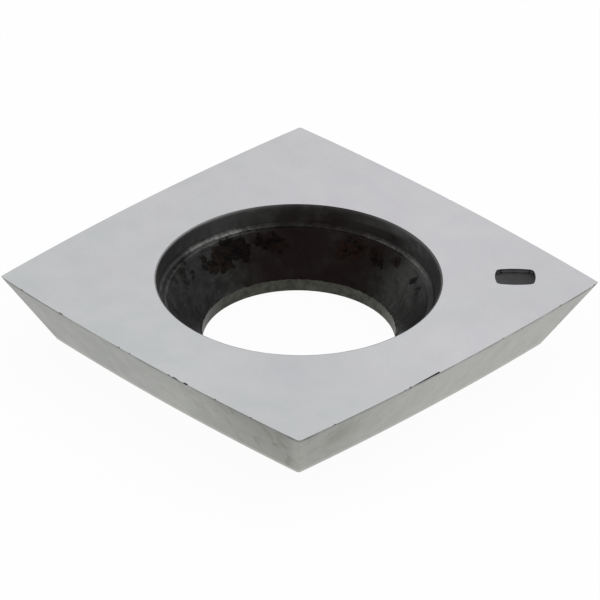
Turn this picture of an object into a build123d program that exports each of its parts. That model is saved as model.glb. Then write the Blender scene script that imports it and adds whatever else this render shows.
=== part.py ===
"""Square carbide insert with four bowed cutting edges, pressed and sintered in one piece, then ground.

The insert lies on its small face. Its four edges run along X and Y, +Z points up through the screw
hole, and the origin is the centre of the seat face that the holder's pocket bears on.
"""

import os
from math import radians, sqrt, tan

from build123d import *

# Blank: millimetres and degrees
width = 15.0  # from the middle of one cutting edge to the middle of the edge across from it
thickness = 2.5  # seat face to rake face
edge_radius = 100.0  # bow of each cutting edge, seen from above
relief_angle = 30.0  # how far each flank leans in under its cutting edge
corner_radius = 0.16  # rounded ridge where two flanks meet

# Screw hole, from the seat face up
bore_diameter = 6.65  # passes the shank of an M5 or No. 10 screw with room to spare
bore_length = 0.45  # straight land at the seat face
seat_angle = 82.0  # full angle of the countersink that the screw's head bears on
ledge_depth = 0.69  # rake face down to the step that the press punch leaves round the countersink
ledge_width = 0.22
ledge_fillet = 0.15  # inner corner between the ledge and the wall above it
wall_draft = 13.0  # how far that wall leans out on its way up to the rake face

# Index mark: a shallow pocket that tells one corner from the other three
mark_corner_angle = 45.0  # the marked corner lies between +X and +Y
mark_distance = 7.39  # from the hole's axis to the middle of the pocket, along the diagonal
mark_offset = 0.31  # sideways from the diagonal
mark_length = 1.38  # along the diagonal
mark_width = 1.03
mark_depth = 0.12
mark_bulge = 0.07  # how far its ends bow out
mark_crown = 0.025  # how far its long sides bow out
mark_corner_radius = 0.22
mark_floor_fillet = 0.06  # inner corner all round its floor

# Chip: a long spall broken out of the +X cutting edge, blunt at one end
chip_start = -0.8  # its blunt end, measured along Y from the middle of the edge
chip_length = 1.25
chip_radius = 0.06

# The cutting edges are arcs between four shared corners, so half the width is half the chord of an
# arc and its rise together.
centre_setback = edge_radius - width / 2
half_chord = (sqrt(2 * edge_radius**2 - centre_setback**2) - centre_setback) / 2

# The countersink opens at its angle up to the ledge, and the wall at its draft up to the rake face.
ledge_height = thickness - ledge_depth
seat_radius = bore_diameter / 2 + (ledge_height - bore_length) * tan(radians(seat_angle / 2))
wall_foot = seat_radius + ledge_width
mouth_radius = wall_foot + ledge_depth * tan(radians(wall_draft))


def edge_point(along):
    """A point of the +X cutting edge, a given way along it from its middle."""
    return Vector(sqrt(edge_radius**2 - along**2) - centre_setback, along, thickness)


chip_run = edge_point(chip_start - chip_length) - edge_point(chip_start)

# The pocket's outline is four arcs between the corners of this rectangle; the last one closes it.
mark_plane = Plane(
    origin=Vector(mark_distance, mark_offset, thickness).rotate(Axis.Z, mark_corner_angle),
    x_dir=Vector(1, 0, 0).rotate(Axis.Z, mark_corner_angle),
)
half_x = mark_length / 2 - mark_bulge
half_y = mark_width / 2 - mark_crown
mark_corners = ((-half_x, half_y), (half_x, half_y), (half_x, -half_y))

with BuildPart() as insert:
    # Blank: the bowed square of the rake face, leaning in by the relief angle down to the seat face
    with BuildSketch(Plane.XY.offset(thickness)):
        with BuildLine():
            for turn in range(0, 360, 90):
                corner = Vector(half_chord, -half_chord).rotate(Axis.Z, turn)
                RadiusArc(corner, corner.rotate(Axis.Z, 90), -edge_radius)
        make_face()
    extrude(amount=-thickness, taper=relief_angle)
    corner_ridges = insert.edges().group_by(Axis.Z)[1]
    fillet(corner_ridges, radius=corner_radius)

    # Screw hole: straight land, countersink, ledge and flared wall, turned about Z in one cut
    with BuildSketch(Plane.XZ) as hole_profile:
        with BuildLine():
            Polyline(
                (0, 0),
                (bore_diameter / 2, 0),
                (bore_diameter / 2, bore_length),
                (seat_radius, ledge_height),
                (wall_foot, ledge_height),
                (mouth_radius, thickness),
                (0, thickness),
                close=True,
            )
        make_face()
        ledge_corner = hole_profile.vertices().sort_by_distance((wall_foot, ledge_height))[0]
        fillet(ledge_corner, radius=ledge_fillet)
    revolve(axis=Axis.Z, mode=Mode.SUBTRACT)

    # Index mark: a barrel-sided pocket, lengthwise on the diagonal
    with BuildSketch(mark_plane) as mark:
        with BuildLine():
            for turn in (0, 180):
                corners = [Vector(x, y).rotate(Axis.Z, turn) for x, y in mark_corners]
                SagittaArc(corners[0], corners[1], mark_crown)
                SagittaArc(corners[1], corners[2], mark_bulge)
        make_face()
        fillet(mark.vertices(), radius=mark_corner_radius)
    extrude(amount=-mark_depth, mode=Mode.SUBTRACT)
    mark_floor = insert.faces().sort_by_distance(mark_plane.origin)[0]
    fillet(mark_floor.edges(), radius=mark_floor_fillet)

    # Chip: a groove along the cutting edge that tapers away to nothing
    with Locations(Plane(origin=edge_point(chip_start), z_dir=chip_run)):
        Cone(
            bottom_radius=chip_radius,
            top_radius=0,
            height=chip_run.length,
            align=(Align.CENTER, Align.CENTER, Align.MIN),
            mode=Mode.SUBTRACT,
        )

insert.part.label = "insert"

os.makedirs("parts", exist_ok=True)
export_step(insert.part, "parts/insert.step")
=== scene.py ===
from math import atan2, cos, hypot, pi, radians, sin, sqrt, tan

import bpy
from mathutils import Matrix, Vector


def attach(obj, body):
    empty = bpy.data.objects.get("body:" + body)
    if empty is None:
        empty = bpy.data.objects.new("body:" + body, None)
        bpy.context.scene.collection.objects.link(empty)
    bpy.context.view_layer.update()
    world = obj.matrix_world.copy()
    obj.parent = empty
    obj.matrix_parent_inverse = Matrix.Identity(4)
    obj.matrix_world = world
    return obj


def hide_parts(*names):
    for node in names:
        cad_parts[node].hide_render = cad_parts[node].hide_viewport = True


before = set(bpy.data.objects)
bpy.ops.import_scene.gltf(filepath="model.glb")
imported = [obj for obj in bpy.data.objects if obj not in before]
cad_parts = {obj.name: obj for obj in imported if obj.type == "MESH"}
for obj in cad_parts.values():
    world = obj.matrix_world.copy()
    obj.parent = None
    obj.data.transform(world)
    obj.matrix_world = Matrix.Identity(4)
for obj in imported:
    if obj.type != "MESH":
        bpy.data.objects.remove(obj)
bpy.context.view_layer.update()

# ---------------------------------------------------------------------------------------------
# Blank: a square plate of cemented tungsten carbide, pressed and sintered, then ground on both
# faces and all four flanks. Its cutting edges are shallow arcs, and each flank leans in under its
# edge, down to the small face that sits in the holder.
# ---------------------------------------------------------------------------------------------
MM = 0.001  # the insert is modelled in millimetres, and brought to metres at the end
HAIR = 0.001  # two points closer than this are the same one
WIDTH = 15.0
THICKNESS = 2.5
EDGE_BOW = 100.0  # radius of a cutting edge, seen from above
RELIEF = radians(30.0)
EDGE_STEPS = 124  # stretches along each cutting edge
RIDGE_STEPS = 4  # across each of the ridges between two flanks
RIDGE_WEAR = (  # corner on X and on Y, and how far its ridge is worn back from sharp
    (1, -1, 0.14),
    (1, 1, 0.03),
    (-1, 1, 0.08),
    (-1, -1, 0.03),
)

bow_setback = EDGE_BOW - WIDTH / 2


def lone_point(place):
    """Adds one vertex in edit mode: a tiny triangle, merged to its middle."""
    bpy.ops.mesh.select_mode(type="VERT")
    bpy.ops.mesh.select_all(action="DESELECT")
    bpy.ops.mesh.primitive_circle_add(vertices=3, radius=10 * HAIR, location=place)
    bpy.ops.mesh.merge(type="CENTER")


def bowed_square(radius, height):
    """Spins a point along the four arcs of an outline, from corner to corner."""
    half = (sqrt(2 * radius**2 - bow_setback**2) - bow_setback) / 2
    sweep = 2 * atan2(half, half + bow_setback)
    lone_point((half, -half, height))
    for side in range(4):
        turn = side * pi / 2
        middle = (-bow_setback * cos(turn), -bow_setback * sin(turn), height)
        bpy.ops.mesh.spin(steps=EDGE_STEPS, angle=-sweep, center=middle, axis=(0, 0, 1))


def pick(piece, kind, test):
    """Selects the edges or faces of a piece in edit mode whose corners all pass a test."""
    bpy.ops.mesh.select_mode(type="EDGE" if kind == "edges" else "FACE")
    bpy.ops.mesh.select_all(action="DESELECT")
    bpy.ops.object.mode_set(mode="OBJECT")
    corners = piece.data.vertices
    for item in getattr(piece.data, kind):
        item.select = all(test(corners[v].co) for v in item.vertices)
    bpy.ops.object.mode_set(mode="EDIT")


def level(p, height):
    """Whether a point lies at a height."""
    return abs(p.z - height) < HAIR


def empty_mesh(name):
    """Adds an object with nothing in it yet, and leaves it in edit mode."""
    bpy.ops.object.select_all(action="DESELECT")
    bpy.ops.mesh.primitive_circle_add(vertices=3, radius=1, location=(0, 0, 0))
    piece = bpy.context.object
    piece.name = piece.data.name = name
    bpy.ops.object.mode_set(mode="EDIT")
    bpy.ops.mesh.select_mode(type="VERT")
    bpy.ops.mesh.delete(type="VERT")
    return piece


insert = empty_mesh("carbide_insert")
bowed_square(EDGE_BOW, THICKNESS)
bowed_square(EDGE_BOW - THICKNESS * tan(RELIEF), 0)
bpy.ops.mesh.select_all(action="SELECT")
bpy.ops.mesh.remove_doubles(threshold=HAIR)
bpy.ops.mesh.bridge_edge_loops()
for x_side, y_side, setback in RIDGE_WEAR:
    pick(insert, "edges", lambda p: abs(x_side * p.x - y_side * p.y) < HAIR and x_side * p.x > 0)
    bpy.ops.mesh.bevel(offset=setback, offset_type="OFFSET", segments=RIDGE_STEPS, profile=0.5)


def linear(code):
    """Turns an sRGB hex colour into Blender's linear one."""
    parts = [int(code[i : i + 2], 16) / 255 for i in (1, 3, 5)]
    return [c / 12.92 if c <= 0.04045 else ((c + 0.055) / 1.055) ** 2.4 for c in parts] + [1]


def add(tree, kind, inputs=None, **settings):
    """Adds a node with its settings, and sets or links its inputs.

    Only live sockets count. A number counts them from the top, and a node stands for its own
    first live output.
    """
    node = tree.nodes.new("ShaderNode" + kind)
    for name, value in settings.items():
        setattr(node, name, value)
    live = [socket for socket in node.inputs if socket.enabled]
    for key, value in (inputs or {}).items():
        socket = live[key] if isinstance(key, int) else next(s for s in live if s.name == key)
        if isinstance(value, bpy.types.Node):
            value = next(s for s in value.outputs if s.enabled)
        if isinstance(value, bpy.types.NodeSocket):
            tree.links.new(value, socket)
        else:
            socket.default_value = value
    return node


def new_finish(name):
    """Starts an empty material, and gives the place on the piece that its patterns follow."""
    material = bpy.data.materials.new(name)
    material.use_nodes = True
    tree = material.node_tree
    tree.nodes.clear()
    return material, tree, add(tree, "TexCoord").outputs["Object"]


def near(tree, where, middle, reach, border):
    """A round patch: 1 round its middle, and 0 past its reach. All in millimetres."""
    away = add(tree, "VectorMath", {0: where, 1: [c * MM for c in middle]}, operation="DISTANCE")
    return add(
        tree,
        "MapRange",
        {"Value": away, "From Min": reach * MM, "From Max": (reach - border) * MM},
        interpolation_type="SMOOTHSTEP",
    )


# Rake face: carbide, ground with a fine wheel and wiped clean. It gives a pale, even, satin grey
# with soft clouds, a cast that drifts from blue-green to violet, and a fine grain.
RAKE_CLOUD = 1.3 * MM
CAST_CLOUD = 3.5 * MM
GRIT = 0.07 * MM  # the real grit is about 0.01 mm, too fine to show
LAY = 0.9 * MM  # length of the wheel's marks; the real ones are too fine to show
LAY_SLENDERNESS = 9  # so they are drawn 0.1 mm wide
HANDLED = (  # duller patches: middle, reach and soft border (mm), and how dull
    ((6.0, -6.0, THICKNESS), 5.0, 6.0, 0.28),  # the corner in use, between +X and -Y
    ((7.6, 7.4, THICKNESS), 7.0, 6.0, 0.30),  # the corner of the index mark
    ((3.4, -3.4, THICKNESS), 2.6, 2.4, 0.25),  # the hole's rim on the side of the corner in use
)
rake, tree, where = new_finish("ground carbide, rake face")
axes = add(tree, "SeparateXYZ", {0: where})
cast = add(tree, "TexNoise", {"Vector": where, "Scale": 1 / CAST_CLOUD, "Detail": 2})
cast = add(
    tree, "MapRange", {"Value": cast, "From Min": 0.35, "From Max": 0.65, "To Min": -0.4, "To Max": 0.4}
)
drift = add(tree, "MapRange", {"Value": axes.outputs["Y"], "From Min": -6 * MM, "From Max": 5 * MM})
cast = add(tree, "Math", {0: cast, 1: drift}, operation="ADD", use_clamp=True)
colour = add(
    tree, "Mix", {"Factor": cast, "A": linear("#b3b6b7"), "B": linear("#b7b5b9")}, data_type="RGBA"
)
clouds = add(
    tree, "TexNoise", {"Vector": where, "Scale": 1 / RAKE_CLOUD, "Detail": 4, "Roughness": 0.55}
)
clouds = add(tree, "MapRange", {"Value": clouds, "From Min": 0.35, "From Max": 0.65, "To Max": 0.5})
colour = add(tree, "Mix", {"Factor": clouds, "A": colour, "B": linear("#bebec0")}, data_type="RGBA")
grain = add(tree, "TexNoise", {"Vector": where, "Scale": 1 / GRIT, "Detail": 2})
specks = add(tree, "MapRange", {"Value": grain, "From Min": 0.3, "From Max": 0.7, "To Max": 0.2})
colour = add(tree, "Mix", {"Factor": specks, "A": colour, "B": linear("#a5a6a8")}, data_type="RGBA")
for middle, reach, border, share in HANDLED:
    handled = add(
        tree, "Math", {0: near(tree, where, middle, reach, border), 1: share}, operation="MULTIPLY"
    )
    colour = add(
        tree, "Mix", {"Factor": handled, "A": colour, "B": linear("#a3a5a8")}, data_type="RGBA"
    )
lay = add(tree, "Mapping", {"Vector": where, "Scale": (1, LAY_SLENDERNESS, 1)})
lay = add(tree, "TexNoise", {"Vector": lay, "Scale": 1 / LAY, "Detail": 3})
satin = add(
    tree, "MapRange", {"Value": lay, "From Min": 0.3, "From Max": 0.7, "To Min": 0.345, "To Max": 0.385}
)
bump = add(tree, "Bump", {"Height": grain, "Strength": 0.5, "Distance": 0.0015 * MM})
shader = add(
    tree, "BsdfPrincipled", {"Base Color": colour, "Metallic": 1, "Roughness": satin, "Normal": bump}
)
add(tree, "OutputMaterial", {"Surface": shader})

# Flanks: carbide, ground with a coarser wheel that ran down them, and stained by coolant. They give
# a duller, warmer grey with streaks and yellow-green stains at a corner. Painted on them are shade on
# the -Y flank, near the corner in use and in a dark line under the edge, a painted reflection of the
# white floor along the foot, and a painted highlight on two ridges.
STREAK = 0.5 * MM  # width of the streaks, drawn four times as long
FLANK_CLOUD = 1.8 * MM
SMUDGE = 0.42 * MM
FLANK_GRIT = 0.08 * MM  # the real grit is about 0.03 mm, too fine to show
STAIN = 0.55 * MM
EDGE_SHADE_LINE = (2.30 * MM, 2.43 * MM)  # heights between which the dark line under the edge sets in
EDGE_SHADE_BREAK = 0.8 * MM  # how often that line fades
FOOT_STRIP = (0.22 * MM, 0.12 * MM)  # heights between which the paler foot sets in
PALE_RIDGE = (0.45 * MM, 0.05 * MM)  # x + y, either way from 0, between which two ridges turn paler
flank, tree, where = new_finish("ground carbide, flanks")
axes = add(tree, "SeparateXYZ", {0: where})
across = add(tree, "VectorMath", {0: where, 1: (0.71, 0.70, 0)}, operation="DOT_PRODUCT")
# Painted shade: the flank on the -Y side is darker than the one on the +X side.
side = add(tree, "MapRange", {"Value": across, "From Min": -2 * MM, "From Max": 5 * MM})
colour = add(
    tree, "Mix", {"Factor": side, "A": linear("#949692"), "B": linear("#a3a49f")}, data_type="RGBA"
)
streaks = add(tree, "Mapping", {"Vector": where, "Scale": (1, 1, 0.25), "Rotation": (0.5, 0.3, 0)})
streaks = add(
    tree, "TexNoise", {"Vector": streaks, "Scale": 1 / STREAK, "Detail": 5, "Roughness": 0.62}
)
dull = add(tree, "MapRange", {"Value": streaks, "From Min": 0.7, "From Max": 0.3, "To Max": 0.28})
colour = add(tree, "Mix", {"Factor": dull, "A": colour, "B": linear("#83847c")}, data_type="RGBA")
clouds = add(tree, "TexNoise", {"Vector": where, "Scale": 1 / FLANK_CLOUD, "Detail": 2})
clouds = add(tree, "MapRange", {"Value": clouds, "From Min": 0.4, "From Max": 0.65, "To Max": 0.22})
colour = add(tree, "Mix", {"Factor": clouds, "A": colour, "B": linear("#b2b3ae")}, data_type="RGBA")
smudges = add(tree, "Mapping", {"Vector": where, "Scale": (1, 1, 0.6)})
smudges = add(tree, "TexNoise", {"Vector": smudges, "Scale": 1 / SMUDGE, "Detail": 3, "Roughness": 0.6})
darker = add(tree, "MapRange", {"Value": smudges, "From Min": 0.5, "From Max": 0.36, "To Max": 0.2})
colour = add(tree, "Mix", {"Factor": darker, "A": colour, "B": linear("#7e8079")}, data_type="RGBA")
paler = add(tree, "MapRange", {"Value": smudges, "From Min": 0.5, "From Max": 0.64, "To Max": 0.12})
colour = add(tree, "Mix", {"Factor": paler, "A": colour, "B": linear("#bbbcb8")}, data_type="RGBA")
# The corner between +X and -Y is the one in use: its flanks are stained there, and darker there as
# a painted reflection of the floor's shade, both most on the -Y side.
used_side = add(
    tree,
    "MapRange",
    {"Value": across, "From Min": -0.5 * MM, "From Max": 0.5 * MM, "To Min": 1, "To Max": 0.45},
)
used = add(
    tree, "Math", {0: near(tree, where, (6.6, -7.2, 1.9), 6.2, 6.0), 1: used_side}, operation="MULTIPLY"
)
painted_corner_shade = add(tree, "Math", {0: used, 1: 0.9}, operation="MULTIPLY")
colour = add(tree, "Mix", {"Factor": painted_corner_shade, "A": colour, "B": linear("#7a7b73")}, data_type="RGBA")
# Painted shade: the flanks are darker still high up near the corner in use, most on the -Y side.
upper = add(
    tree,
    "MapRange",
    {"Value": axes.outputs["Z"], "From Min": 1.5 * MM, "From Max": 2.4 * MM, "To Max": 0.65},
)
upper_corner_shade = add(
    tree, "Math", {0: near(tree, where, (5.2, -7.3, 2.5), 3.2, 3.2), 1: upper}, operation="MULTIPLY"
)
colour = add(tree, "Mix", {"Factor": upper_corner_shade, "A": colour, "B": linear("#6c6d68")}, data_type="RGBA")
slant = add(tree, "Mapping", {"Vector": where, "Scale": (1, 1, 0.4), "Rotation": (0.3, 0.6, 0.2)})
stain = add(
    tree,
    "TexNoise",
    {"Vector": slant, "Scale": 1 / STAIN, "Detail": 4, "Roughness": 0.55, "Distortion": 0.8},
)
stain = add(tree, "MapRange", {"Value": stain, "From Min": 0.50, "From Max": 0.60, "To Max": 0.7})
stain = add(tree, "Math", {0: stain, 1: used}, operation="MULTIPLY")
colour = add(tree, "Mix", {"Factor": stain, "A": colour, "B": linear("#5f614f")}, data_type="RGBA")
blot = add(
    tree, "Math", {0: near(tree, where, (7.0, -4.9, 1.4), 1.3, 1.2), 1: 0.65}, operation="MULTIPLY"
)
colour = add(tree, "Mix", {"Factor": blot, "A": colour, "B": linear("#70725f")}, data_type="RGBA")
grain = add(tree, "TexNoise", {"Vector": where, "Scale": 1 / FLANK_GRIT, "Detail": 2})
specks = add(tree, "MapRange", {"Value": grain, "From Min": 0.55, "From Max": 0.75, "To Max": 0.3})
colour = add(tree, "Mix", {"Factor": specks, "A": colour, "B": linear("#73746d")}, data_type="RGBA")
# Painted shade: a dark line just under the cutting edge, heaviest towards its ends, and a darker
# painted shadow right under the tip of the corner in use.
under_edge_shade = add(
    tree, "MapRange", {"Value": axes.outputs["Z"], "From Min": EDGE_SHADE_LINE[0], "From Max": EDGE_SHADE_LINE[1]}
)
uneven = add(tree, "TexNoise", {"Vector": where, "Scale": 1 / EDGE_SHADE_BREAK, "Detail": 4})
uneven = add(
    tree,
    "MapRange",
    {"Value": uneven, "From Min": 0.35, "From Max": 0.6, "To Min": 0.25, "To Max": 0.85},
)
line = add(tree, "Math", {0: under_edge_shade, 1: uneven}, operation="MULTIPLY")
for tip, reach in ((-7.3, -7.3), 3.6), ((7.3, 7.3), 2.8), ((7.3, -7.3), 1.3):
    end = near(tree, where, (*tip, THICKNESS), reach, 0.8 * reach)
    end = add(tree, "Math", {0: end, 1: line}, operation="MULTIPLY")
    line = add(tree, "Math", {0: line, 1: end}, operation="ADD", use_clamp=True)
colour = add(tree, "Mix", {"Factor": line, "A": colour, "B": linear("#595a56")}, data_type="RGBA")
tip_shadow = near(tree, where, (7.15, -7.15, THICKNESS), 0.60, 0.30)
tip_shadow = add(tree, "Math", {0: tip_shadow, 1: under_edge_shade}, operation="MULTIPLY")
colour = add(tree, "Mix", {"Factor": tip_shadow, "A": colour, "B": linear("#242423")}, data_type="RGBA")
# The foot of each flank is paler, a painted reflection of the white floor.
foot_reflection = add(
    tree,
    "MapRange",
    {"Value": axes.outputs["Z"], "From Min": FOOT_STRIP[0], "From Max": FOOT_STRIP[1], "To Max": 0.6},
)
colour = add(tree, "Mix", {"Factor": foot_reflection, "A": colour, "B": linear("#b6b6b0")}, data_type="RGBA")
# The ridge at the corner in use and the one across from it are paler: a painted highlight.
to_ridge = add(tree, "VectorMath", {0: where, 1: (1, 1, 0)}, operation="DOT_PRODUCT")
to_ridge = add(tree, "Math", {0: to_ridge}, operation="ABSOLUTE")
ridge_highlight = add(
    tree,
    "MapRange",
    {"Value": to_ridge, "From Min": PALE_RIDGE[0], "From Max": PALE_RIDGE[1], "To Max": 0.35},
)
colour = add(tree, "Mix", {"Factor": ridge_highlight, "A": colour, "B": linear("#b4b5ac")}, data_type="RGBA")
bump = add(tree, "Bump", {"Height": streaks, "Strength": 0.4, "Distance": 0.006 * MM})
shader = add(
    tree, "BsdfPrincipled", {"Base Color": colour, "Metallic": 1, "Roughness": 0.36, "Normal": bump}
)
add(tree, "OutputMaterial", {"Surface": shader})

# ---------------------------------------------------------------------------------------------
# Screw hole: pressed with the blank and left as it came out of the furnace. From the rake face
# down it has a flared wall, a narrow ledge, the countersink that the screw's head bears on, and a
# short straight land. The punch that pressed it sat a little to one side.
# ---------------------------------------------------------------------------------------------
LAND_RADIUS = 3.325
LAND_LENGTH = 0.45
SEAT_ANGLE = radians(82.0)
LEDGE_DEPTH = 0.69
LEDGE_WIDTH = 0.22
WALL_DRAFT = radians(13.0)  # how far the wall above the ledge leans out
WALL_RINGS, LEDGE_RINGS, SEAT_RINGS, LAND_RINGS = 9, 3, 36, 10  # rings of faces along each stretch
FOOT_SETBACK = 0.119  # how far each of its corners is rounded back from sharp
LIP_SETBACK = 0.05
RIM_SETBACK = 0.055
ROUNDING_STEPS = 4
RING = 4 * (EDGE_STEPS + RIDGE_STEPS)  # as many points round the hole as round the outline
OFF_AXIS = 0.1  # no ring of the flat faces stands further off the axis than this
HOLE_MARGIN = 0.2  # and no point of the hole lies further than this past its mouth's radius
MOUTH_MIDDLE = Vector((-0.057, 0.010))
PUNCH_MIDDLE = Vector((-0.092, -0.091))  # of the ledge's inner corner
LIP_MIDDLE = Vector((-0.050, -0.050))
LAND_MIDDLE = Vector((0, 0))

ledge_height = THICKNESS - LEDGE_DEPTH
seat_radius = LAND_RADIUS + (ledge_height - LAND_LENGTH) * tan(SEAT_ANGLE / 2)
wall_foot = seat_radius + LEDGE_WIDTH
mouth_radius = wall_foot + LEDGE_DEPTH * tan(WALL_DRAFT)


def run_to(start, end, rings):
    """Extrudes the selected ring along a straight stretch of the hole's profile."""
    (radius, middle, height), (last_radius, last_middle, last_height) = start, end
    step, rise = (last_middle - middle) / rings, (last_height - height) / rings
    for k in range(rings):
        bpy.ops.mesh.extrude_edges_move(TRANSFORM_OT_translate={"value": (*step, rise)})
        now, then = (radius + (last_radius - radius) * (k + i) / rings for i in (0, 1))
        here = (*(middle + step * (k + 1)), 0)
        bpy.ops.transform.resize(value=(then / now, then / now, 1), center_override=here)


def on_ring(ring):
    """Gives the test of whether a point lies on a ring of the hole's profile."""
    radius, middle, height = ring
    return lambda p: level(p, height) and abs((p.xy - middle).length - radius) < HAIR


mouth = (mouth_radius, MOUTH_MIDDLE, THICKNESS)
foot = (wall_foot, PUNCH_MIDDLE, ledge_height)
lip = (seat_radius, LIP_MIDDLE, ledge_height)
land_top = (LAND_RADIUS, LAND_MIDDLE, LAND_LENGTH)
land_foot = (LAND_RADIUS, LAND_MIDDLE, 0)
bpy.ops.mesh.select_mode(type="VERT")
bpy.ops.mesh.select_all(action="DESELECT")
bpy.ops.mesh.primitive_circle_add(
    vertices=RING, radius=mouth_radius, location=(*MOUTH_MIDDLE, THICKNESS)
)
run_to(mouth, foot, WALL_RINGS)
run_to(foot, lip, LEDGE_RINGS)
run_to(lip, land_top, SEAT_RINGS)
run_to(land_top, land_foot, LAND_RINGS)

# The rake face and the seat face are the rings of faces between the hole and the outline.
for radius, height in ((mouth_radius, THICKNESS), (LAND_RADIUS, 0)):
    pick(insert, "edges", lambda p: level(p, height) and hypot(p.x, p.y) > radius - OFF_AXIS)
    bpy.ops.mesh.bridge_edge_loops()
bpy.ops.mesh.select_all(action="SELECT")
bpy.ops.mesh.remove_doubles(threshold=HAIR / 10)
bpy.ops.mesh.normals_make_consistent(inside=False)

# The ledge's inner corner, the lip of the countersink and the rim are softly rounded.
for ring, setback in ((foot, FOOT_SETBACK), (lip, LIP_SETBACK), (mouth, RIM_SETBACK)):
    pick(insert, "edges", on_ring(ring))
    bpy.ops.mesh.bevel(offset=setback, offset_type="OFFSET", segments=ROUNDING_STEPS, profile=0.5)

# Hole: carbide as it left the furnace, dark and matt, with no grinding on it. It gives a mottled
# near-black skin with a few bright specks, and a brown film and blots of burnt binder with ragged
# borders. Painted on it are light on one side and shade on the other, and highlights at the rim
# and along the ledge.
MOTTLE = 0.45 * MM
SPECK = 0.10 * MM
CRUST = 0.09 * MM  # flecks in the burnt binder
RUST_PATCH = 0.35 * MM
FILM_CLOUD = 0.8 * MM
LEDGE_HIGHLIGHT_PATCH = 0.16 * MM
FRAY = 0.24 * MM  # width of the tongues along a blot's border
FRAY_REACH = 0.85 * MM
BLOT_BORDER = 0.10
CLEAN_WALL = (1.86 * MM, 1.98 * MM)  # heights between which the wall above the ledge turns cleaner
RIM_HIGHLIGHT = (2.34 * MM, 2.50 * MM)  # and lighter still
# The burnish named on the next line is a painted highlight along the ledge.
LEDGE_LEVEL = (1.74 * MM, 1.79 * MM)  # heights and radii between which the burnish sets in
LEDGE_INNER = (4.49 * MM, 4.60 * MM)
LEDGE_OUTER = (4.78 * MM, 4.66 * MM)
LEDGE_OUTER_HALF = (4.58 * MM, 4.66 * MM)
# The dust named on the next line is only a darkening of the ledge and the wall's foot towards +X.
LEDGE_DARKENING_TOP = (2.0 * MM, 1.9 * MM)  # heights between which dust and film end on the wall
FILM_TOP = (2.35 * MM, 2.15 * MM)
BLOTS = (  # middle and reach of each blot of burnt binder (mm), and how brown it is
    ((-4.03, 1.11, 1.45), 0.50, 0.2),
    ((-4.25, 0.75, 1.60), 0.38, 0.0),
    ((-4.13, 0.34, 1.39), 0.52, 0.7),
    ((-4.06, -0.12, 1.30), 0.34, 0.5),
    ((-4.22, -0.40, 1.50), 0.26, 0.2),
    ((-3.59, 2.19, 1.46), 0.38, 0.5),
    ((-3.82, 1.92, 1.52), 0.28, 0.1),
    ((-3.33, 2.42, 1.38), 0.32, 0.6),
    ((-4.28, -1.30, 1.74), 0.20, 0.1),
    ((-4.06, -1.13, 1.48), 0.22, 0.2),
    ((-4.10, -1.60, 1.70), 0.30, 0.1),
    ((-3.80, -1.66, 1.39), 0.24, 0.0),
    ((-3.92, -2.20, 1.74), 0.26, 0.1),
    ((-2.60, -3.28, 1.44), 0.20, 0.0),
    ((-1.55, 3.84, 1.40), 0.44, 0.9),
    ((-1.20, 3.98, 1.45), 0.38, 0.9),
    ((-0.40, 4.20, 1.46), 0.36, 0.7),
    ((-0.15, 4.10, 1.30), 0.26, 0.3),
    ((0.45, 4.30, 1.60), 0.24, 0.6),
    ((1.68, 3.90, 1.51), 0.24, 0.1),
    ((2.20, 3.60, 1.48), 0.18, 0.0),
)
skin, tree, where = new_finish("as-sintered carbide, screw hole")
height = add(tree, "SeparateXYZ", {0: where}).outputs["Z"]
mottle = add(tree, "TexNoise", {"Vector": where, "Scale": 1 / MOTTLE, "Detail": 6, "Roughness": 0.62})
dark = add(tree, "MapRange", {"Value": mottle, "From Min": 0.35, "From Max": 0.68})
colour = add(
    tree, "Mix", {"Factor": dark, "A": linear("#202120"), "B": linear("#333433")}, data_type="RGBA"
)
speck = add(tree, "TexNoise", {"Vector": where, "Scale": 1 / SPECK, "Detail": 2})
speck = add(tree, "MapRange", {"Value": speck, "From Min": 0.64, "From Max": 0.78, "To Max": 0.45})
colour = add(tree, "Mix", {"Factor": speck, "A": colour, "B": linear("#5c5c5c")}, data_type="RGBA")
# It is lighter on the side towards +X and +Y and darker on the side across from it: painted light
# and painted shade.
cone_painted_light = near(tree, where, (1.8, 3.2, 1.0), 2.4, 1.9)
cone_painted_light = add(tree, "Math", {0: cone_painted_light, 1: 0.62}, operation="MULTIPLY")
colour = add(tree, "Mix", {"Factor": cone_painted_light, "A": colour, "B": linear("#4c4c4b")}, data_type="RGBA")
cone_painted_shade = near(tree, where, (-3.4, -1.6, 1.0), 2.4, 2.0)
cone_painted_shade = add(tree, "Math", {0: cone_painted_shade, 1: 0.6}, operation="MULTIPLY")
colour = add(tree, "Mix", {"Factor": cone_painted_shade, "A": colour, "B": linear("#1e1f1e")}, data_type="RGBA")
# The wall above the ledge is cleaner, and lighter still where it rounds over into the ground rim:
# a painted highlight, strongest on the side towards -X and -Y.
wall = add(
    tree,
    "MapRange",
    {"Value": height, "From Min": CLEAN_WALL[0], "From Max": CLEAN_WALL[1], "To Max": 0.85},
)
colour = add(tree, "Mix", {"Factor": wall, "A": colour, "B": linear("#525352")}, data_type="RGBA")
across = add(tree, "VectorMath", {0: where, 1: (0.71, 0.70, 0)}, operation="DOT_PRODUCT")
rim = add(tree, "MapRange", {"Value": height, "From Min": RIM_HIGHLIGHT[0], "From Max": RIM_HIGHLIGHT[1]})
rim_lit_side = add(
    tree,
    "MapRange",
    {"Value": across, "From Min": -4 * MM, "From Max": 4.5 * MM, "To Min": 0.85, "To Max": 0.05},
)
rim = add(tree, "Math", {0: rim, 1: rim_lit_side}, operation="MULTIPLY")
colour = add(tree, "Mix", {"Factor": rim, "A": colour, "B": linear("#6c6c6c")}, data_type="RGBA")
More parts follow.
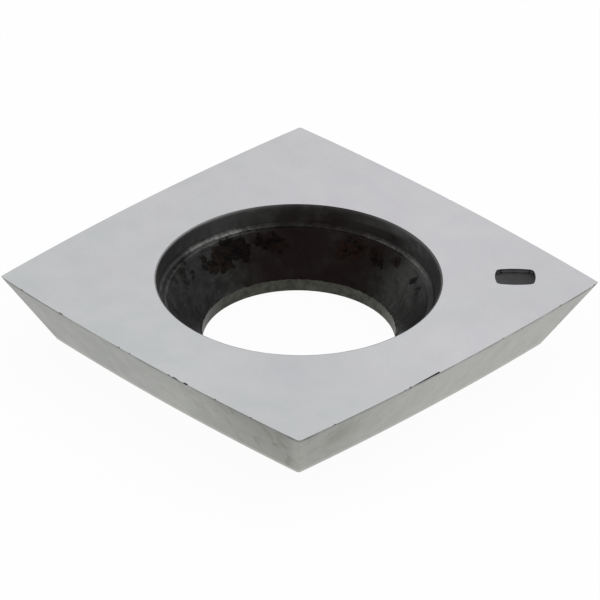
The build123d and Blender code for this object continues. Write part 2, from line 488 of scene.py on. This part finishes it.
# A painted highlight lies on the ledge only, in broken patches: brightest on the -X side, fainter on
# the outer half of the +Y side, and faintest between the two. On the side towards +X the ledge and
# the wall just above it are darker.
on_plan = add(tree, "VectorMath", {0: where, 1: (1, 1, 0)}, operation="MULTIPLY")
off_lip = add(tree, "VectorMath", {0: on_plan, 1: (*(LIP_MIDDLE * MM), 0)}, operation="DISTANCE")
off_foot = add(tree, "VectorMath", {0: on_plan, 1: (*(PUNCH_MIDDLE * MM), 0)}, operation="DISTANCE")
inner = add(
    tree, "MapRange", {"Value": off_lip, "From Min": LEDGE_INNER[0], "From Max": LEDGE_INNER[1]}
)
outer = add(
    tree, "MapRange", {"Value": off_foot, "From Min": LEDGE_OUTER[0], "From Max": LEDGE_OUTER[1]}
)
ledge = add(tree, "Math", {0: inner, 1: outer}, operation="MULTIPLY")
above = add(tree, "MapRange", {"Value": height, "From Min": LEDGE_LEVEL[0], "From Max": LEDGE_LEVEL[1]})
ledge = add(tree, "Math", {0: ledge, 1: above}, operation="MULTIPLY")
left = near(tree, where, (-4.6, 0.8, ledge_height), 2.3, 2.0)
right = near(tree, where, (0.25, 4.50, ledge_height), 2.55, 1.5)
right = add(tree, "Math", {0: right, 1: 0.62}, operation="MULTIPLY")
outer_half = add(
    tree,
    "MapRange",
    {"Value": off_foot, "From Min": LEDGE_OUTER_HALF[0], "From Max": LEDGE_OUTER_HALF[1]},
)
right = add(tree, "Math", {0: right, 1: outer_half}, operation="MULTIPLY")
far = near(tree, where, (-3.0, 3.3, ledge_height), 3.4, 2.0)
far = add(tree, "Math", {0: far, 1: 0.3}, operation="MULTIPLY")
ledge_highlight = add(tree, "Math", {0: left, 1: right}, operation="MAXIMUM")
ledge_highlight = add(tree, "Math", {0: ledge_highlight, 1: far}, operation="MAXIMUM")
broken_up = add(
    tree, "TexNoise", {"Vector": where, "Scale": 1 / LEDGE_HIGHLIGHT_PATCH, "Detail": 3, "Roughness": 0.6}
)
broken_up = add(
    tree, "MapRange", {"Value": broken_up, "From Min": 0.35, "From Max": 0.6, "To Min": 0.3}
)
ledge_highlight = add(tree, "Math", {0: ledge_highlight, 1: broken_up}, operation="MULTIPLY")
ledge_highlight = add(tree, "Math", {0: ledge_highlight, 1: ledge}, operation="MULTIPLY")
colour = add(tree, "Mix", {"Factor": ledge_highlight, "A": colour, "B": linear("#787877")}, data_type="RGBA")
ledge_darkening = near(tree, where, (3.6, 2.9, ledge_height), 1.7, 1.1)
ledge_darkening = add(tree, "Math", {0: ledge_darkening, 1: above}, operation="MULTIPLY")
off_wall = add(
    tree, "MapRange", {"Value": height, "From Min": LEDGE_DARKENING_TOP[0], "From Max": LEDGE_DARKENING_TOP[1], "To Max": 0.7}
)
ledge_darkening = add(tree, "Math", {0: ledge_darkening, 1: off_wall}, operation="MULTIPLY")
colour = add(tree, "Mix", {"Factor": ledge_darkening, "A": colour, "B": linear("#1c1c1c")}, data_type="RGBA")
# Brown film on the side towards -X and +Y, on the countersink and low on the wall
film_clouds = add(tree, "TexNoise", {"Vector": where, "Scale": 1 / FILM_CLOUD, "Detail": 4})
film_clouds = add(
    tree,
    "MapRange",
    {"Value": film_clouds, "From Min": 0.2, "From Max": 0.5, "To Min": 0.6, "To Max": 0.9},
)
film = add(
    tree,
    "Math",
    {0: near(tree, where, (-2.2, 2.9, 1.2), 3.9, 2.6), 1: film_clouds},
    operation="MULTIPLY",
)
below = add(
    tree, "MapRange", {"Value": height, "From Min": FILM_TOP[0], "From Max": FILM_TOP[1], "To Max": 0.8}
)
wall_film = add(
    tree, "Math", {0: near(tree, where, (-1.1, 4.6, 2.0), 2.6, 1.8), 1: below}, operation="MULTIPLY"
)
film = add(tree, "Math", {0: film, 1: wall_film}, operation="MAXIMUM")
less_on_ledge = add(tree, "MapRange", {"Value": ledge_highlight, "To Min": 1, "To Max": 0})
film = add(tree, "Math", {0: film, 1: less_on_ledge}, operation="MULTIPLY")
colour = add(tree, "Mix", {"Factor": film, "A": colour, "B": linear("#191111")}, data_type="RGBA")
fray = add(tree, "TexNoise", {"Vector": where, "Scale": 1 / FRAY, "Detail": 5, "Roughness": 0.62})
fray = add(tree, "VectorMath", {0: fray.outputs["Color"], 1: (0.5, 0.5, 0.5)}, operation="SUBTRACT")
fray = add(tree, "VectorMath", {0: fray, "Scale": FRAY_REACH}, operation="SCALE")
frayed = add(tree, "VectorMath", {0: where, 1: fray}, operation="ADD").outputs["Vector"]
blots = rusty = None
for middle, reach, brown in BLOTS:
    blot = near(tree, frayed, middle, reach, BLOT_BORDER)
    rust = add(tree, "Math", {0: blot, 1: brown}, operation="MULTIPLY")
    blots = add(tree, "Math", {0: blots, 1: blot}, operation="MAXIMUM") if blots else blot
    rusty = add(tree, "Math", {0: rusty, 1: rust}, operation="MAXIMUM") if rusty else rust
patchy = add(tree, "TexNoise", {"Vector": where, "Scale": 1 / RUST_PATCH, "Detail": 3})
patchy = add(tree, "MapRange", {"Value": patchy, "From Min": 0.42, "From Max": 0.58})
rusty = add(tree, "Math", {0: rusty, 1: patchy}, operation="MULTIPLY")
binder = add(
    tree, "Mix", {"Factor": rusty, "A": linear("#080707"), "B": linear("#1c130f")}, data_type="RGBA"
)
crust = add(tree, "TexNoise", {"Vector": where, "Scale": 1 / CRUST, "Detail": 3})
crust = add(tree, "MapRange", {"Value": crust, "From Min": 0.48, "From Max": 0.78, "To Max": 0.5})
binder = add(tree, "Mix", {"Factor": crust, "A": binder, "B": linear("#2a2421")}, data_type="RGBA")
blots = add(tree, "Math", {0: blots, 1: 0.9}, operation="MULTIPLY")
colour = add(tree, "Mix", {"Factor": blots, "A": colour, "B": binder}, data_type="RGBA")
bump = add(tree, "Bump", {"Height": mottle, "Strength": 0.7, "Distance": 0.02 * MM})
shader = add(
    tree, "BsdfPrincipled", {"Base Color": colour, "Metallic": 1, "Roughness": 0.45, "Normal": bump}
)
add(tree, "OutputMaterial", {"Surface": shader})

# Land: the same skin, rubbed by the bore punch as it left. It gives a paler, greener, cloudy band.
LAND_CLOUD = 0.2 * MM
land, tree, where = new_finish("as-sintered carbide, bore land")
mottle = add(
    tree, "TexNoise", {"Vector": where, "Scale": 1 / LAND_CLOUD, "Detail": 4, "Roughness": 0.6}
)
rubbed = add(tree, "MapRange", {"Value": mottle, "From Min": 0.3, "From Max": 0.7})
colour = add(
    tree, "Mix", {"Factor": rubbed, "A": linear("#343531"), "B": linear("#4d4e47")}, data_type="RGBA"
)
shader = add(tree, "BsdfPrincipled", {"Base Color": colour, "Metallic": 1, "Roughness": 0.45})
add(tree, "OutputMaterial", {"Surface": shader})

for finish, test in (
    (flank, lambda p: True),
    (rake, lambda p: level(p, THICKNESS)),
    (rake, lambda p: level(p, 0)),
    (skin, lambda p: hypot(p.x, p.y) < mouth_radius + HOLE_MARGIN),
    (land, lambda p: hypot(p.x, p.y) < LAND_RADIUS + HAIR and p.z < LAND_LENGTH + HAIR),
):
    if finish.name not in insert.data.materials:
        insert.data.materials.append(finish)
    pick(insert, "polygons", test)
    insert.active_material_index = insert.data.materials.find(finish.name)
    bpy.ops.object.material_slot_assign()
bpy.ops.object.mode_set(mode="OBJECT")

# The press leaves the land's upper edge ragged, and the furnace leaves the whole skin uneven.
RAGGED_EDGE = (0.24, 0.09)  # grain and height of each
SOFT_LUMPS = (0.42, 0.035)
FINE_LUMPS = (0.13, 0.016)
FADE_AT_RAKE, FADE_AT_SEAT = 0.15, 0.1  # how far from each flat face the lumps fade out
RAGGED_REACH = 0.16  # how far above and below the edge it is ragged
LAND_MARGIN = 0.3  # and no point so near lies further than this past the land's radius


def weigh(name, share):
    """Makes a vertex group from a share of 0 to 1 at each place."""
    group = insert.vertex_groups.new(name=name)
    for vertex in insert.data.vertices:
        group.add([vertex.index], min(1, max(0, share(vertex.co))), "REPLACE")
    return name


def unevenness(name, group, grain, height, direction):
    """Lifts and sinks the surface in clouds of a given grain and height, in millimetres."""
    clouds = bpy.data.textures.new(name, "CLOUDS")
    clouds.noise_scale = grain
    clouds.noise_depth = 2
    lump = insert.modifiers.new(name, "DISPLACE")
    lump.texture, lump.texture_coords = clouds, "LOCAL"
    lump.strength, lump.mid_level, lump.direction = height, 0.5, direction
    lump.vertex_group = group
    bpy.context.view_layer.objects.active = insert
    bpy.ops.object.modifier_apply(modifier=name)


def inside_hole(p):
    """All of the hole's skin, fading out towards the two flat faces."""
    in_hole = hypot(p.x, p.y) < mouth_radius + HOLE_MARGIN
    return in_hole * min(1, (THICKNESS - p.z) / FADE_AT_RAKE, p.z / FADE_AT_SEAT)


def near_land_edge(p):
    """The land's upper edge, fading out above and below it."""
    return (hypot(p.x, p.y) < LAND_RADIUS + LAND_MARGIN) * (1 - abs(p.z - LAND_LENGTH) / RAGGED_REACH)


unevenness("land edge", weigh("land edge", near_land_edge), *RAGGED_EDGE, "Z")
unevenness("press skin", weigh("press skin", inside_hole), *SOFT_LUMPS, "NORMAL")
unevenness("sinter grain", "press skin", *FINE_LUMPS, "NORMAL")

# ---------------------------------------------------------------------------------------------
# Index mark: a shallow pocket with bowed sides, pressed into one corner of the rake face so that
# a fresh edge can be told from a used one. Grinding the face has left it dark.
# ---------------------------------------------------------------------------------------------
MARK_MIDDLE = (7.39, 0.31)  # before it is turned to the corner at 45 degrees
MARK_HALF = (0.62, 0.465)  # from its middle to its corners, before they are rounded
MARK_BULGE = (0.08, 0.062)  # of its ends and of its long sides
MARK_ROUNDING = ((-1, 0.24), (1, 0.16))  # rounder at the end next to the hole
MARK_DEPTH = 0.12
MARK_STEPS = 12  # stretches along each of its sides
MARK_FLOOR_SETBACK = 0.09  # how far the corner round its floor is rounded back
CLEARANCE = 0.05  # the cutter stands this far out of the face

pocket = empty_mesh("index mark cutter")
top = THICKNESS + CLEARANCE
lone_point((MARK_MIDDLE[0] + MARK_HALF[0], MARK_MIDDLE[1] - MARK_HALF[1], top))
for side in range(4):
    reach, chord = MARK_HALF[side % 2], MARK_HALF[(side + 1) % 2]
    rise = MARK_BULGE[side % 2]
    bow = (chord**2 + rise**2) / (2 * rise)
    out = reach + rise - bow
    turn = side * pi / 2
    middle = (MARK_MIDDLE[0] + out * cos(turn), MARK_MIDDLE[1] + out * sin(turn), top)
    sweep = 2 * atan2(chord, bow - rise)
    bpy.ops.mesh.spin(steps=MARK_STEPS, angle=-sweep, center=middle, axis=(0, 0, 1))
bpy.ops.mesh.select_all(action="SELECT")
bpy.ops.mesh.remove_doubles(threshold=HAIR)
bpy.ops.mesh.edge_face_add()
bpy.ops.mesh.extrude_region_move(TRANSFORM_OT_translate={"value": (0, 0, -MARK_DEPTH - CLEARANCE)})
bpy.ops.mesh.select_all(action="SELECT")
bpy.ops.mesh.normals_make_consistent(inside=False)


def mark_corner(p, end):
    """Whether a point is a corner of the mark, at its end next to the hole (-1) or the other (1)."""
    across, up = p.x - MARK_MIDDLE[0], abs(p.y - MARK_MIDDLE[1])
    return abs(end * across - MARK_HALF[0]) < HAIR and abs(up - MARK_HALF[1]) < HAIR


for end, setback in MARK_ROUNDING:
    pick(pocket, "edges", lambda p: mark_corner(p, end))
    bpy.ops.mesh.bevel(offset=setback, offset_type="OFFSET", segments=6, profile=0.5)
pick(pocket, "edges", lambda p: level(p, THICKNESS - MARK_DEPTH))
bpy.ops.mesh.bevel(offset=MARK_FLOOR_SETBACK, offset_type="OFFSET", segments=3, profile=0.5)
bpy.ops.mesh.select_all(action="SELECT")
bpy.ops.mesh.remove_doubles(threshold=HAIR)
bpy.ops.mesh.quads_convert_to_tris()
bpy.ops.transform.rotate(value=-pi / 4, orient_axis="Z", center_override=(0, 0, 0))
bpy.ops.object.mode_set(mode="OBJECT")

# Mark: carbide as it left the furnace, below the reach of the wheel. It gives a flat charcoal with
# faint clouds.
MARK_CLOUD = 0.35 * MM
MARK_WALL = (2.40 * MM, 2.44 * MM)  # heights between which its side walls turn lighter
recess, tree, where = new_finish("as-sintered carbide, index mark")
mottle = add(
    tree, "TexNoise", {"Vector": where, "Scale": 1 / MARK_CLOUD, "Detail": 3, "Roughness": 0.6}
)
mottle = add(tree, "MapRange", {"Value": mottle, "From Min": 0.35, "From Max": 0.65})
colour = add(
    tree, "Mix", {"Factor": mottle, "A": linear("#353536"), "B": linear("#404042")}, data_type="RGBA"
)
dark_end = add(
    tree, "Math", {0: near(tree, where, (5.35, 5.75, 2.4), 0.75, 0.7), 1: 0.5}, operation="MULTIPLY"
)
colour = add(tree, "Mix", {"Factor": dark_end, "A": colour, "B": linear("#2b2b2b")}, data_type="RGBA")
height = add(tree, "SeparateXYZ", {0: where}).outputs["Z"]
side_wall = add(tree, "MapRange", {"Value": height, "From Min": MARK_WALL[0], "From Max": MARK_WALL[1]})
colour = add(tree, "Mix", {"Factor": side_wall, "A": colour, "B": linear("#5a5a5b")}, data_type="RGBA")
shader = add(tree, "BsdfPrincipled", {"Base Color": colour, "Metallic": 1, "Roughness": 0.5})
add(tree, "OutputMaterial", {"Surface": shader})
pocket.data.materials.append(recess)


def cut_away(tool):
    """Takes a tool's shape out of the insert. The tool's finish stays on the cut."""
    cut = insert.modifiers.new("cut", "BOOLEAN")
    cut.operation, cut.solver, cut.material_mode = "DIFFERENCE", "EXACT", "TRANSFER"
    cut.object = tool
    bpy.ops.object.select_all(action="DESELECT")
    bpy.context.view_layer.objects.active = insert
    insert.select_set(True)
    bpy.ops.object.modifier_apply(modifier="cut")
    bpy.data.objects.remove(tool)


cut_away(pocket)

# ---------------------------------------------------------------------------------------------
# Chips: carbide is hard and brittle, so instead of denting, the cutting edges have lost a few
# small flakes and one long spall. The fresh break is left dark and rough.
# ---------------------------------------------------------------------------------------------
FLAKES = (  # edge (0 is +X, 1 is +Y, 3 is -Y), place along it, length, bite inwards, bite down (mm)
    (0, -2.19, 0.13, 0.035, 0.07),
    (0, -2.45, 0.10, 0.015, 0.05),
    (0, -5.66, 0.12, 0.02, 0.05),
    (0, 2.27, 0.10, 0.015, 0.04),
    (0, 5.22, 0.14, 0.015, 0.05),
    (0, 7.02, 0.14, 0.015, 0.05),
    (3, -6.10, 0.14, 0.02, 0.05),
    (3, -4.06, 0.24, 0.025, 0.07),
    (3, -1.15, 0.12, 0.02, 0.05),
    (3, -0.62, 0.12, 0.02, 0.04),
    (3, 1.28, 0.12, 0.02, 0.05),
    (3, 1.58, 0.26, 0.03, 0.08),
    (3, 2.07, 0.24, 0.05, 0.11),
    (3, 3.45, 0.12, 0.02, 0.05),
    (3, 5.10, 0.10, 0.02, 0.04),
    (1, 0.15, 0.10, 0.02, 0.04),
)
FIRST_SEED = 40
CRUMBLE = 0.45  # how uneven a flake is, as a share of its bite
SPALL_START = -0.80  # the blunt end of the long spall, along the +X edge
SPALL_LENGTH = 1.25
SPALL_RADIUS = 0.06
SPALL_UNEVENNESS = 0.004
SPALL_SEED = 5


def edge_place(side, along):
    """A point of a cutting edge, and which way the edge runs there."""
    turn = side * pi / 2
    out = sqrt(EDGE_BOW**2 - along**2) - bow_setback
    x, y = out * cos(turn) - along * sin(turn), out * sin(turn) + along * cos(turn)
    return Vector((x, y, THICKNESS)), turn + atan2(along, EDGE_BOW)


chips = empty_mesh("chips cutter")
for number, (side, along, length, inward, drop) in enumerate(FLAKES):
    place, run = edge_place(side, along)
    bite = (inward, length / 2, drop)
    bpy.ops.mesh.select_all(action="DESELECT")
    bpy.ops.mesh.primitive_ico_sphere_add(
        subdivisions=2, radius=1, location=place, rotation=(0, 0, run), scale=bite
    )
    bpy.ops.transform.vertex_random(offset=inward * CRUMBLE, seed=FIRST_SEED + number)

# The long spall is deepest at its blunt end and runs out to a quarter of that.
blunt, point = (edge_place(0, along)[0] for along in (SPALL_START, SPALL_START - SPALL_LENGTH))
bpy.ops.mesh.select_all(action="DESELECT")
bpy.ops.mesh.primitive_cone_add(
    vertices=8,
    radius1=SPALL_RADIUS,
    radius2=SPALL_RADIUS / 4,
    depth=(point - blunt).length,
    location=(blunt + point) / 2,
    rotation=(point - blunt).to_track_quat("Z", "X").to_euler(),
)
bpy.ops.mesh.subdivide(number_cuts=2)
bpy.ops.mesh.quads_convert_to_tris()
bpy.ops.transform.vertex_random(offset=SPALL_UNEVENNESS, seed=SPALL_SEED)
bpy.ops.object.mode_set(mode="OBJECT")

# Break: bare fractured carbide, which scatters the light. It gives small dark, dull bites.
FACET = 0.05 * MM  # drawn far coarser than the real grain of a few thousandths of a millimetre
broken, tree, where = new_finish("fractured carbide, chips")
facets = add(tree, "TexNoise", {"Vector": where, "Scale": 1 / FACET, "Detail": 3})
facets = add(tree, "MapRange", {"Value": facets, "From Min": 0.35, "From Max": 0.65})
colour = add(
    tree, "Mix", {"Factor": facets, "A": linear("#262724"), "B": linear("#393a37")}, data_type="RGBA"
)
shader = add(tree, "BsdfPrincipled", {"Base Color": colour, "Metallic": 1, "Roughness": 0.55})
add(tree, "OutputMaterial", {"Surface": shader})
chips.data.materials.append(broken)
cut_away(chips)

# ---------------------------------------------------------------------------------------------
# The finished insert: one piece. Its two ground faces stay flat right up to their edges, all
# other creases under 25 degrees are smooth, and it is brought from millimetres to metres.
# ---------------------------------------------------------------------------------------------
CREASE = radians(25)

bpy.ops.object.mode_set(mode="EDIT")
for height in (THICKNESS, 0):
    pick(insert, "polygons", lambda p: level(p, height))
    bpy.ops.mesh.region_to_loop()
    bpy.ops.mesh.mark_sharp()
bpy.ops.object.mode_set(mode="OBJECT")
bpy.ops.object.shade_smooth_by_angle(angle=CREASE)
bpy.ops.object.mode_set(mode="EDIT")
bpy.ops.mesh.select_all(action="SELECT")
bpy.ops.transform.resize(value=(MM, MM, MM), center_override=(0, 0, 0))
bpy.ops.object.mode_set(mode="OBJECT")
insert.vertex_groups.clear()
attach(insert, "root")
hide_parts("insert")

# ---------------------------------------------------------------------------------------------
# Floor: one flat sheet of white paper under the insert. It is seen as white, also in the carbide's
# gloss, and keeps the insert's soft shadow.
# ---------------------------------------------------------------------------------------------
FLOOR_SIZE = 3  # metres
FLOOR_GAP = 0.002 * MM  # keeps it from lying in the same plane as the seat face
WHITENESS = 0.95  # how far the paper is lit to plain white; the rest shows the shadow


def seen_directly(tree, share):
    """The share for rays that the camera sends, also off gloss and through glass, and 0 for others."""
    path = add(tree, "LightPath")
    seen = add(
        tree,
        "Math",
        {0: path.outputs["Is Camera Ray"], 1: path.outputs["Is Glossy Ray"]},
        operation="ADD",
    )
    seen = add(tree, "Math", {0: seen, 1: path.outputs["Is Transmission Ray"]}, operation="ADD")
    return add(tree, "Math", {0: seen, 1: share}, operation="MULTIPLY", use_clamp=True)


bpy.ops.object.select_all(action="DESELECT")
bpy.ops.mesh.primitive_plane_add(size=FLOOR_SIZE, location=(0, 0, -FLOOR_GAP))
floor = bpy.context.object
floor.name = "floor"
paper, tree, where = new_finish("matt white paper")
matt = add(tree, "BsdfDiffuse", {"Color": linear("#f8f8f8")})
glow = add(tree, "Emission", {"Color": (1, 1, 1, 1), "Strength": 1})
sheet = add(tree, "MixShader", {0: seen_directly(tree, WHITENESS), 1: matt, 2: glow})
add(tree, "OutputMaterial", {"Surface": sheet})
floor.data.materials.append(paper)

# ---------------------------------------------------------------------------------------------
# Light: a white tent all round, and one large softbox from behind and above that brings out the
# rounded ledge in the hole.
# ---------------------------------------------------------------------------------------------
world = bpy.data.worlds.new("white tent")
bpy.context.scene.world = world
world.use_nodes = True
tree = world.node_tree
tree.nodes.clear()
fill = add(tree, "Background", {"Color": (1, 1, 1, 1), "Strength": 0.75})
white = add(tree, "Background", {"Color": (1, 1, 1, 1), "Strength": 1})
tent = add(tree, "MixShader", {0: seen_directly(tree, 1), 1: fill, 2: white})
add(tree, "OutputWorld", {"Surface": tent})

SOFTBOX_PLACE = (-0.02, 0.45, 0.40)
SOFTBOX_SIZE = 0.60
SOFTBOX_POWER = 1.1
bpy.ops.object.light_add(type="AREA", location=SOFTBOX_PLACE)
softbox = bpy.context.object
softbox.name = "softbox"
softbox.data.size = SOFTBOX_SIZE
softbox.data.energy = SOFTBOX_POWER
softbox.rotation_euler = Vector(SOFTBOX_PLACE).to_track_quat("Z", "Y").to_euler()

# ---------------------------------------------------------------------------------------------
# Camera: a 500 mm lens, turned to the corner in use and looking down on the rake face by 32
# degrees. It is far enough off for the edges to look nearly parallel.
# ---------------------------------------------------------------------------------------------
AIM = Vector((0.2765, -0.2494, 1.900)) * MM
AZIMUTH, ELEVATION, ROLL = radians(44.6905), radians(31.7873), radians(0.7347)
DISTANCE = 285.291 * MM
lens = bpy.data.cameras.new("camera")
lens.lens, lens.sensor_width = 500.0, 36.0
lens.clip_start, lens.clip_end = 0.01, 10.0
camera = bpy.data.objects.new("camera", lens)
bpy.context.scene.collection.objects.link(camera)
turned = Matrix.Rotation(AZIMUTH, 4, "Z")
turned = turned @ Matrix.Rotation(pi / 2 - ELEVATION, 4, "X")
turned = turned @ Matrix.Rotation(ROLL, 4, "Z")
camera.matrix_world = Matrix.Translation(AIM) @ turned @ Matrix.Translation((0, 0, DISTANCE))
bpy.context.scene.camera = camera
bpy.context.scene.view_settings.view_transform = "Standard"
